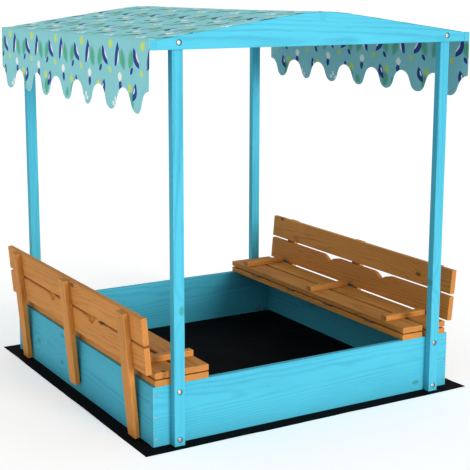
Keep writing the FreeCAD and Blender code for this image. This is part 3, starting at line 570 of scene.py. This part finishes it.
def ground_material(weave_group):
    """Black woven ground cloth with faint dust."""
    material, graph, shader = new_material("ground_cloth_black")
    place = graph.node("ShaderNodeUVMap", uv_map="cloth").outputs[0]
    weave = graph.use(weave_group, Place=place, Pitch=0.0022)
    dust = graph.smooth(graph.noise(place, 4.0, 5.0, 0.6), 0.45, 0.80, 0.0, 0.5)
    base = graph.blend(weave["Threads"], linear(3, 3, 4), linear(11, 11, 12))
    graph.feed(shader.inputs["Base Color"], graph.blend(dust, base, linear(16, 16, 17)))
    graph.feed(shader.inputs["Roughness"], graph.math("MULTIPLY_ADD", weave["Slub"], 0.2, 0.75))
    shader.inputs["Specular IOR Level"].default_value = 0.06
    bump(graph, shader, weave["Threads"], 0.4, 0.0004)
    return material


# ---------------------------------------------------------------- canopy
def scallop_rise(gap, pitch):
    """Height of the valance's edge above its tips at a distance from the nearest tip."""
    half = pitch / 2
    fall = SCALLOP_DEPTH - ARCH_RADIUS - TIP_RADIUS
    reach = math.asin((ARCH_RADIUS + TIP_RADIUS) / math.hypot(half, fall))
    turn = math.pi / 2 - math.atan2(fall, half) - reach
    if gap < TIP_RADIUS * math.cos(turn):
        return TIP_RADIUS - math.sqrt(TIP_RADIUS ** 2 - gap ** 2)
    if gap < half - ARCH_RADIUS * math.cos(turn):
        start = TIP_RADIUS * math.cos(turn)
        return TIP_RADIUS * (1 - math.sin(turn)) + (gap - start) / math.tan(turn)
    return SCALLOP_DEPTH - ARCH_RADIUS + math.sqrt(max(ARCH_RADIUS ** 2 - (half - gap) ** 2, 0))


class Canopy:
    """The cloth's line over the roof frame, measured as a distance from the ridge."""

    def __init__(self):
        rail_low, rail_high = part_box("left_eave_rail")
        gable_low, gable_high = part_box("front_gable")
        self.front, self.rear = rail_low.y, rail_high.y
        self.length = self.rear - self.front
        self.pitch = self.length / SCALLOPS
        self.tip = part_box("canopy")[0].z
        self.rail_top = rail_high.z
        self.outer = -rail_low.x + CLOTH_LIFT
        self.radius = CROWN_RADIUS + CLOTH_LIFT
        self.centre = gable_high.z - CROWN_RADIUS
        fall = CROWN_RADIUS - (gable_high.z - self.rail_top)
        half = -gable_low.x
        self.slope = math.asin(CROWN_RADIUS / math.hypot(half, fall)) - math.atan2(fall, half)
        self.break_out = half + CLOTH_LIFT * math.tan(self.slope / 2)
        self.crown = self.radius * self.slope
        crown_side = self.radius * math.sin(self.slope)
        self.slant = (self.break_out - crown_side) / math.cos(self.slope)
        self.flat = self.outer - EAVE_BEND - self.break_out
        self.bend = EAVE_BEND * math.pi / 2
        self.eave = self.crown + self.slant + self.flat
        self.drop = self.rail_top + CLOTH_LIFT - EAVE_BEND - self.tip
        self.full = self.eave + self.bend + self.drop

    def section(self, distance):
        """Out and up of the cloth, and of its outward normal, at a distance down from the ridge."""
        if distance <= self.crown:
            turn = distance / self.radius
            out, up = math.sin(turn), math.cos(turn)
            return self.radius * out, self.centre + self.radius * up, out, up
        left = distance - self.crown
        if left <= self.slant:
            out, up = math.sin(self.slope), math.cos(self.slope)
            return self.radius * out + left * up, self.centre + self.radius * up - left * out, out, up
        left -= self.slant
        top = self.rail_top + CLOTH_LIFT
        if left <= self.flat:
            return self.break_out + left, top, 0.0, 1.0
        left -= self.flat
        if left <= self.bend:
            out, up = math.sin(left / EAVE_BEND), math.cos(left / EAVE_BEND)
            return self.outer - EAVE_BEND * (1 - out), top - EAVE_BEND * (1 - up), out, up
        return self.outer, top - EAVE_BEND - (left - self.bend), 1.0, 0.0

    def edge_rise(self, along):
        """How far above the tips the valance ends, at a place along the roof."""
        step = (along - self.front) / self.pitch
        gap = abs(step - math.floor(step) - 0.5) * self.pitch
        return scallop_rise(gap, self.pitch)

    def edge_slope(self, along):
        """How steeply the valance's edge climbs there."""
        step = 0.001
        return (self.edge_rise(along + step) - self.edge_rise(along - step)) / (2 * step)

    def to_edge(self, distance, along):
        """Distance to the nearest cut edge of the cloth, or to the seam along the ridge."""
        slope = self.edge_slope(along)
        lower = (self.full - self.edge_rise(along) - distance) / math.sqrt(1 + slope ** 2)
        return min(lower, along - self.front, self.rear - along, distance)

    def point(self, side, distance, along):
        """A point of the hanging cloth: the section, with its sag between the gables and its soft folds."""
        out, up, normal_out, normal_up = self.section(distance)
        half_span = self.length / 2 - GABLE_THICKNESS
        free = max(0.0, half_span - abs(along - (self.front + self.rear) / 2))
        span = 1 - (1 - min(free / half_span, 1.0)) ** 2
        if distance < self.eave - self.flat:
            # The slope sags between the gables and has a few shallow ripples.
            mid = math.sin(math.pi * min(1.0, distance / (self.crown + self.slant))) ** 2
            ridge = max(0.0, 1 - distance / 0.10)
            ripple = noise.noise(Vector((distance * 5.0 + 4 * side, along * 2.2, 1.3))) * 0.0022
            ripple += noise.noise(Vector((distance * 2.0 + 9 * side, along * 13.0, 4.7))) * 0.0012
            push = -span * (SLOPE_SAG * mid + RIDGE_SAG * ridge) + ripple * span * mid
            return Vector((side * (out + normal_out * push), along, up + normal_up * push))
        # Below the rail the valance swings in soft folds that grow towards the scallops.
        hang = max(0.0, distance - self.eave - self.bend - RAIL_HEIGHT)
        swing = 0.0026 * math.sin(along * 15.0 + 1.1 * side) + 0.0014 * math.sin(along * 31.0 + 2.0)
        swing += noise.noise(Vector((along * 9.0, distance * 4.0, 7.0 + side))) * 0.004
        amount = min(1.0, hang / 0.19) ** 1.3
        return Vector((side * (out + swing * amount + 0.0015 * amount), along, up))


def canopy_rows(canopy, along):
    """Distances from the ridge for one line of the cloth, down to the valance's edge there."""
    seam = [0, SEAM_WIDTH / 2, SEAM_WIDTH]
    roof = [canopy.eave * number / ROOF_STEPS for number in range(1, ROOF_STEPS)]
    bend = [canopy.eave + canopy.bend * number / BEND_STEPS for number in range(BEND_STEPS)]
    drop = canopy.drop - canopy.edge_rise(along)
    fall = [canopy.eave + canopy.bend + drop * number / DROP_STEPS for number in range(DROP_STEPS + 1)]
    return seam + roof + bend + fall


def flat_area(corners):
    """Area of a flat face from its corners in order."""
    pairs = zip(corners, corners[1:] + corners[:1])
    return abs(sum(first[0] * second[1] - second[0] * first[1] for first, second in pairs)) / 2


def make_canopy(canopy, outer_cloth, shaded_inner_cloth):
    """One continuous sheet over ridge, gables and rails, with a scalloped valance each side.

    Gives the piece and the area of the cloth laid flat.
    """
    columns = SCALLOPS * SCALLOP_STEPS
    alongs = [canopy.front + canopy.length * number / columns for number in range(columns + 1)]
    bm = bmesh.new()
    uv_layer = bm.loops.layers.uv.new("cloth")
    hem = bm.verts.layers.float.new("hem")
    flat = {}
    lines = []
    for along in alongs:
        rows = canopy_rows(canopy, along)
        line = []
        for side, distances in ((-1, rows[::-1]), (1, rows[1:])):
            for distance in distances:
                vertex = bm.verts.new(canopy.point(side, distance, along))
                vertex[hem] = canopy.to_edge(distance, along)
                flat[vertex] = (side, along, distance)
                line.append(vertex)
        lines.append(line)
    area = 0.0
    for first, second in zip(lines, lines[1:]):
        for number in range(len(first) - 1):
            corners = (first[number], second[number], second[number + 1], first[number + 1])
            face = bm.faces.new(corners)
            face.smooth = True
            area += flat_area([flat[corner][1:] for corner in corners])
            side = max(flat[corner][0] for corner in corners)
            for loop in face.loops:
                along, distance = flat[loop.vert][1:]
                loop[uv_layer].uv = (along * side + PRINT_START[0], PRINT_START[1] - distance)
    bm.normal_update()
    if sum(face.normal.z for face in bm.faces) < 0:
        bmesh.ops.reverse_faces(bm, faces=bm.faces)
    mesh = mesh_from("canopy_cloth", bm)
    # The first material is the outer side; the second, on the inner side, is a darker copy that paints the shade
    # under the canopy.
    mesh.materials.append(outer_cloth)
    mesh.materials.append(shaded_inner_cloth)
    return thicken(link_piece("canopy_cloth", mesh), CLOTH_THICKNESS), area


# ---------------------------------------------------------------- ground sheet
def ground_lie(across, along, wall):
    """Rise of the ground cloth at a place, and how much it is drawn in there.

    It is flat where the timber stands on it. Inside the walls it has loose folds and the creases of
    its packing, and outside them its rim lifts and draws in a little.
    """
    reach = max(abs(across), abs(along))
    inner, outer = wall - 0.030, wall + 0.040
    free = smoothstep(inner, inner - 0.10, reach)
    rim = smoothstep(outer, outer + 0.012, reach)
    fold = noise.noise(Vector((across * 3.0, along * 3.0, 2.0))) ** 2 * 0.016
    fold += max(0.0, noise.noise(Vector((across * 9.0 + 5, along * 5.0, 8.0)))) * 0.005
    crease = 0.0022 * sum(math.exp(-((way - line_place) / 0.007) ** 2)
                          for way in (across, along) for line_place in (0.22, -0.21))
    lift = max(0.0, noise.noise(Vector((across * 7.0, along * 7.0, 5.0)))) * 0.004
    pull = rim * 0.0025 * abs(noise.noise(Vector((across * 4.0, along * 4.0, 11.0))))
    return free * (fold + crease) + rim * lift, pull


def make_ground_sheet(cloth):
    """The cloth under the box, down to its loose folds."""
    low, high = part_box("ground_sheet")
    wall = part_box("front_panel")[1].x
    bm = bmesh.new()
    uv_layer = bm.loops.layers.uv.new("cloth")
    grid = []
    for row in range(GROUND_STEPS + 1):
        line = []
        for column in range(GROUND_STEPS + 1):
            across = low.x + (high.x - low.x) * column / GROUND_STEPS
            along = low.y + (high.y - low.y) * row / GROUND_STEPS
            rise, pull = ground_lie(across, along, wall)
            up = GROUND_THICKNESS / 2 + GROUND_CLEARANCE + rise
            line.append(bm.verts.new((across * (1 - pull), along * (1 - pull), up)))
        grid.append(line)
    for first, second in zip(grid, grid[1:]):
        for number in range(GROUND_STEPS):
            face = bm.faces.new((first[number], first[number + 1], second[number + 1], second[number]))
            face.smooth = True
            for loop in face.loops:
                loop[uv_layer].uv = (loop.vert.co.x, loop.vert.co.y)
    mesh = mesh_from("ground_cloth", bm)
    mesh.materials.append(cloth)
    return thicken(link_piece("ground_cloth", mesh), GROUND_THICKNESS)


def smoothstep(low, high, value):
    """0 to 1 from low to high, eased at both ends."""
    part = min(1.0, max(0.0, (value - low) / (high - low)))
    return part * part * (3 - 2 * part)


# ---------------------------------------------------------------- fasteners
def lathe_with_socket(name, profile, star, depth, steps=18):
    """A turned solid along -Z from its crown at 0, with a six-lobed socket in the crown."""
    bm = bmesh.new()
    angles = [2 * math.pi * number / steps for number in range(steps)]

    def ring(radius, height, lobes=0.0):
        reaches = [radius * (1 + lobes * math.cos(6 * turn)) for turn in angles]
        return [bm.verts.new((reach * math.cos(turn), reach * math.sin(turn), height))
                for reach, turn in zip(reaches, angles)]

    rings = [ring(star * 0.9, -depth, 0.16), ring(star, profile[0][1], 0.16)]
    rings += [ring(radius, height) for radius, height in profile]
    for first, second in zip(rings, rings[1:]):
        for number in range(steps):
            after = (number + 1) % steps
            bm.faces.new((first[number], first[after], second[after], second[number]))
    bm.faces.new(rings[0])
    bm.faces.new(rings[-1])
    bmesh.ops.recalc_face_normals(bm, faces=bm.faces)
    return bpy.data.objects.new(name, mesh_from(name, bm))


def screw_pattern(name, length, head=0.0042, shank=0.00225):
    """A countersunk wood screw."""
    profile = [(head * 0.93, 0.0), (head, -0.0004), (head, -0.0008), (shank, -0.0026),
               (shank, -length + 0.003), (0.0004, -length)]
    return lathe_with_socket(name, profile, head * 0.46, 0.0016)


def bolt_pattern(name, length):
    """A flat round bolt with a broad head."""
    profile = [(0.0050, 0.0), (0.0061, -0.0005), (0.0065, -0.0014), (0.0065, -0.0045),
               (0.0040, -0.0045), (0.0040, -length)]
    return lathe_with_socket(name, profile, 0.0030, 0.0022, 24)


def make_rows(piece, tree, values):
    """Run a tree on a piece with the values of its inputs, set by their sockets' identifiers."""
    rows = piece.modifiers.new("rows", "NODES")
    rows.node_group = tree
    for item in tree.interface.items_tree:
        if item.in_out == "INPUT" and item.name in values:
            rows[item.identifier] = values[item.name]
    return apply_modifiers(piece)


def repeat_on_points(graph, points, shape, rotation, material, end):
    """The end of each tree: one shape on every point, realized, with its material set."""
    placed = graph.node("GeometryNodeInstanceOnPoints",
                        {"Points": points, "Instance": shape, "Rotation": rotation})
    real = graph.node("GeometryNodeRealizeInstances", {"Geometry": placed.outputs[0]})
    finish = graph.node("GeometryNodeSetMaterial", {"Geometry": real.outputs[0], "Material": material})
    graph.links.new(finish.outputs[0], end.inputs[0])


def fastener_rows():
    """The tree that sets a fastener on every point, facing the way the point says."""
    inputs = [("Points", "shape"), ("Fastener", "object"), ("Finish", "material"), ("Seed", "whole")]
    tree, graph, entry, end = new_group("fastener_rows", inputs, [("Fasteners", "shape")],
                                        "GeometryNodeTree")
    tree.is_modifier = True
    points = graph.node("GeometryNodeMeshToPoints", {"Mesh": entry["Points"]})
    facing = graph.node("GeometryNodeInputNamedAttribute", {"Name": "facing"}, data_type="FLOAT_VECTOR")
    aimed = graph.node("FunctionNodeAlignRotationToVector", {"Vector": facing.outputs[0]}, axis="Z")
    spin = graph.node("FunctionNodeRandomValue", {2: 0.0, 3: 2 * math.pi, "Seed": entry["Seed"]},
                      data_type="FLOAT")
    twist = graph.node("FunctionNodeAxisAngleToRotation", {"Axis": (0, 0, 1), "Angle": spin.outputs[1]})
    turned = graph.node("FunctionNodeRotateRotation",
                        {"Rotation": aimed.outputs[0], "Rotate By": twist.outputs[0]},
                        rotation_space="LOCAL")
    item = graph.node("GeometryNodeObjectInfo", {"Object": entry["Fastener"]}, transform_space="ORIGINAL")
    repeat_on_points(graph, points.outputs[0], item.outputs["Geometry"], turned.outputs[0],
                     entry["Finish"], end)
    return tree


def place_fasteners(name, spots, fastener, finish, tree, seed):
    """A plain mesh of one fastener repeated; spots are (place, facing)."""
    mesh = bpy.data.meshes.new(name)
    mesh.from_pydata([spot for spot, facing in spots], [], [])
    facing = mesh.attributes.new("facing", "FLOAT_VECTOR", "POINT")
    for number, (spot, way) in enumerate(spots):
        facing.data[number].vector = way
    return make_rows(link_piece(name, mesh), tree, {"Fastener": fastener, "Finish": finish, "Seed": seed})


def loose_solids(name):
    """Each separate solid of a CAD node, as its list of points."""
    bm = bmesh.new()
    bm.from_mesh(NODES[name].data)
    bmesh.ops.remove_doubles(bm, verts=bm.verts, dist=1e-6)
    seen = set()
    solids = []
    for start in bm.verts:
        if start in seen:
            continue
        seen.add(start)
        group, front = [], [start]
        while front:
            vertex = front.pop()
            group.append(vertex.co.copy())
            for edge in vertex.link_edges:
                other = edge.other_vert(vertex)
                if other not in seen:
                    seen.add(other)
                    front.append(other)
        solids.append(group)
    bm.free()
    return solids


def crowns(name, facing):
    """The crown of each fastener of a node, and the way it faces; facing gives that way from its middle."""
    found = []
    for solid in loose_solids(name):
        middle = Vector([sum(spot[axis] for spot in solid) / len(solid) for axis in range(3)])
        way = facing(middle)
        top = max(spot.dot(way) for spot in solid)
        found.append((middle + way * (top - middle.dot(way)), way))
    return sorted(found, key=lambda pair: tuple(round(part, 4) for part in pair[0]))


def upward(middle):
    """Straight up."""
    return Vector((0, 0, 1))


def to_the_end(middle):
    """To the front or the rear, whichever is nearer."""
    return Vector((0, math.copysign(1, middle.y), 0))


def to_the_side(middle):
    """To the left or the right, whichever is nearer."""
    return Vector((math.copysign(1, middle.x), 0, 0))


def out_of_back(middle):
    """Out of the outer face of the nearer backrest."""
    return Vector((math.copysign(1, middle.x) * math.cos(LEAN), 0, -math.sin(LEAN)))


def make_fasteners(plated, grey, steel):
    """Detailed screws and bolts in place of the plain ones, and the screws of the hinge leaves."""
    tree = fastener_rows()
    rows = [
        ("corner_screws", "root", screw_pattern("long_screw", 0.060), to_the_end),
        ("rail_screws", "root", screw_pattern("rail_screw", 0.0595), to_the_side),
        ("deck_screws", "root", screw_pattern("deck_screw", 0.030), upward),
        ("post_bolts", "root", bolt_pattern("post_bolt", 0.0555), to_the_end),
        ("gable_bolts", "root", bolt_pattern("gable_bolt", 0.0455), to_the_end),
    ]
    for side in ("left", "right"):
        rows.append((f"{side}_seat_screws", f"{side}_seat", screw_pattern("seat_screw", 0.034), upward))
        rows.append((f"{side}_back_screws", f"{side}_backrest", screw_pattern("back_screw", 0.034),
                     out_of_back))
    for seed, (node, body, pattern, facing) in enumerate(rows):
        finish = plated if node.endswith("_bolts") else grey
        piece = place_fasteners("fine_" + node, crowns(node, facing), pattern, finish, tree, seed)
        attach(piece, body)
        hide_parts(node)
    hinge_screw = screw_pattern("hinge_screw", 0.010, 0.0030, 0.0014)
    for side, sign in (("left", -1), ("right", 1)):
        up, out = Vector((0, 0, 1)), Vector((sign, 0, 0))
        up_back = Vector((sign * math.sin(LEAN), 0, math.cos(LEAN)))
        leaves = [(f"{side}_deck_leaves", "root", up, out),
                  (f"{side}_seat_inner_leaves", f"{side}_seat", -up, out),
                  (f"{side}_seat_outer_leaves", f"{side}_seat", out, -up),
                  (f"{side}_back_leaves", f"{side}_backrest", -up_back, out_of_back(out))]
        for node, body, way, across in leaves:
            spots = leaf_screws(node, way, across)
            piece = place_fasteners(f"{node}_screws", spots, hinge_screw, steel, tree, 40)
            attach(piece, body)


def leaf_screws(node, way, across):
    """Three screw places on each hinge leaf; across points from the pin to the leaf's free edge."""
    spread = 0.017  # between neighbouring screws
    spots = []
    for solid in loose_solids(node):
        edge = max(spot.dot(across) for spot in solid)
        plate = [spot for spot in solid if spot.dot(across) > edge - 0.004]
        level = max(spot.dot(way) for spot in plate)
        middle = sum(spot.y for spot in plate) / len(plate)
        for step, inset in ((-1, 0.0055), (0, 0.0085), (1, 0.0055)):
            spot = way * (level + 0.0002) + across * (edge - inset)
            spot.y = middle + step * spread
            spots.append((spot, way))
    return spots


# ---------------------------------------------------------------- stitches
def stitch_rows():
    """The tree that lays stitches end to end along a line."""
    inputs = [("Line", "shape"), ("Pitch", "number", 0.006), ("Length", "number", 0.0042),
              ("Thickness", "number", 0.0004), ("Thread", "material")]
    tree, graph, entry, end = new_group("stitch_rows", inputs, [("Stitches", "shape")], "GeometryNodeTree")
    tree.is_modifier = True
    curve = graph.node("GeometryNodeMeshToCurve", {"Mesh": entry["Line"]})
    even = graph.node("GeometryNodeResampleCurve", {"Curve": curve.outputs[0], "Length": entry["Pitch"]},
                      mode="LENGTH")
    tangent = graph.node("GeometryNodeInputTangent")
    aimed = graph.node("FunctionNodeAlignRotationToVector", {"Vector": tangent.outputs[0]}, axis="Z")
    stitch = graph.node("GeometryNodeMeshCylinder",
                        {"Vertices": 6, "Radius": entry["Thickness"], "Depth": entry["Length"]})
    repeat_on_points(graph, even.outputs[0], stitch.outputs["Mesh"], aimed.outputs[0], entry["Thread"], end)
    return tree


def make_stitches(canopy, thread):
    """Seams along the ridge, along both gable edges and round the scallops."""
    spots, edges = [], []

    def add_line(points):
        first = len(spots)
        spots.extend(points)
        edges.extend((first + number, first + number + 1) for number in range(len(points) - 1))

    lift = CLOTH_THICKNESS / 2 + 0.0001
    ridge_steps = 119
    for side in (-1, 1):
        line = []
        for number in range(ridge_steps + 1):
            along = canopy.front + HEM_INSET + (canopy.length - 2 * HEM_INSET) * number / ridge_steps
            line.append(canopy.point(side, HEM_INSET, along) + Vector((0, 0, lift)))
        add_line(line)
    for along in (canopy.front + HEM_INSET, canopy.rear - HEM_INSET):
        rows = [distance for distance in canopy_rows(canopy, along) if distance < canopy.full - 0.08]
        for side in (-1, 1):
            line = []
            for distance in rows:
                out, up = canopy.section(distance)[2:]
                line.append(canopy.point(side, distance, along) + Vector((side * out, 0, up)) * lift)
            add_line(line)
    count = SCALLOPS * SCALLOP_STEPS
    for side in (-1, 1):
        line = []
        for number in range(2, count - 1):
            along = canopy.front + canopy.length * number / count
            inset = HEM_INSET * math.sqrt(1 + min(canopy.edge_slope(along), 1.3) ** 2)
            distance = canopy.full - canopy.edge_rise(along) - inset
            line.append(canopy.point(side, distance, along) + Vector((side * lift, 0, 0)))
        add_line(line)
    mesh = bpy.data.meshes.new("canopy_stitches")
    mesh.from_pydata(spots, edges, [])
    return make_rows(link_piece("canopy_stitches", mesh), stitch_rows(),
                     {"Pitch": STITCH_PITCH, "Length": STITCH_PITCH * STITCH_SHARE,
                      "Thickness": THREAD_RADIUS, "Thread": thread})


def thread_material():
    """Pale twisted sewing thread."""
    material, graph, shader = new_material("sewing_thread")
    twist = graph.noise(graph.vector("MULTIPLY", graph.place(), (900, 900, 900)), 1.0, 2.0)
    colour = graph.blend(twist, linear(150, 205, 208), linear(196, 232, 232))
    graph.feed(shader.inputs["Base Color"], colour)
    graph.feed(shader.inputs["Roughness"], graph.math("MULTIPLY_ADD", twist, 0.2, 0.6))
    return material


# ---------------------------------------------------------------- the whole
def finish_timber():
    """Stain every wooden piece."""
    figure_group = timber_figure()
    wear_group = edge_wear()
    slots = {part["node"]: part["material_slot"] for part in frame["record"]["subparts"]}
    for seed, name in enumerate(sorted(slots)):
        if slots[name] in STAINS:
            paint_timber(name, slots[name], figure_group, wear_group, seed)


def finish_metal():
    """Plate the fasteners and hinges."""
    group = plated_steel()
    plated = metal_material("yellow_zinc", linear(232, 206, 192), linear(196, 164, 150), group, 0.30)
    steel = metal_material("dull_zinc", linear(112, 108, 102), linear(84, 82, 78), group, 0.42)
    grey = metal_material("grey_zinc", linear(178, 184, 186), linear(132, 140, 144), group, 0.34)
    for name, piece in NODES.items():
        if name.endswith(("_leaves", "_pins")):
            use_material(piece, steel)
        if name.endswith(("_nuts", "_bolts")):
            use_material(piece, plated)
        if name.endswith("_screws"):
            use_material(piece, grey)
    make_fasteners(plated, grey, steel)


def finish_cloth():
    """The canopy and the ground sheet."""
    weave = plain_weave()
    leaf, tile = leaf_shape(), print_tile()
    canopy = Canopy()
    # The inner cloth's darker inks are painted shade.
    cloth, area = make_canopy(canopy, canopy_material("outer", weave, leaf, tile),
                              canopy_material("inner", weave, leaf, tile))
    stitches = make_stitches(canopy, thread_material())
    sheet = make_ground_sheet(ground_material(weave))
    for piece, node, slot in ((cloth, "canopy", "canopy_fabric"), (stitches, None, "canopy_fabric"),
                              (sheet, "ground_sheet", "ground_cloth")):
        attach(piece, "root")
        if node:
            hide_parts(node)


make_camera()
floor = make_studio()
finish_timber()
finish_metal()
finish_cloth()
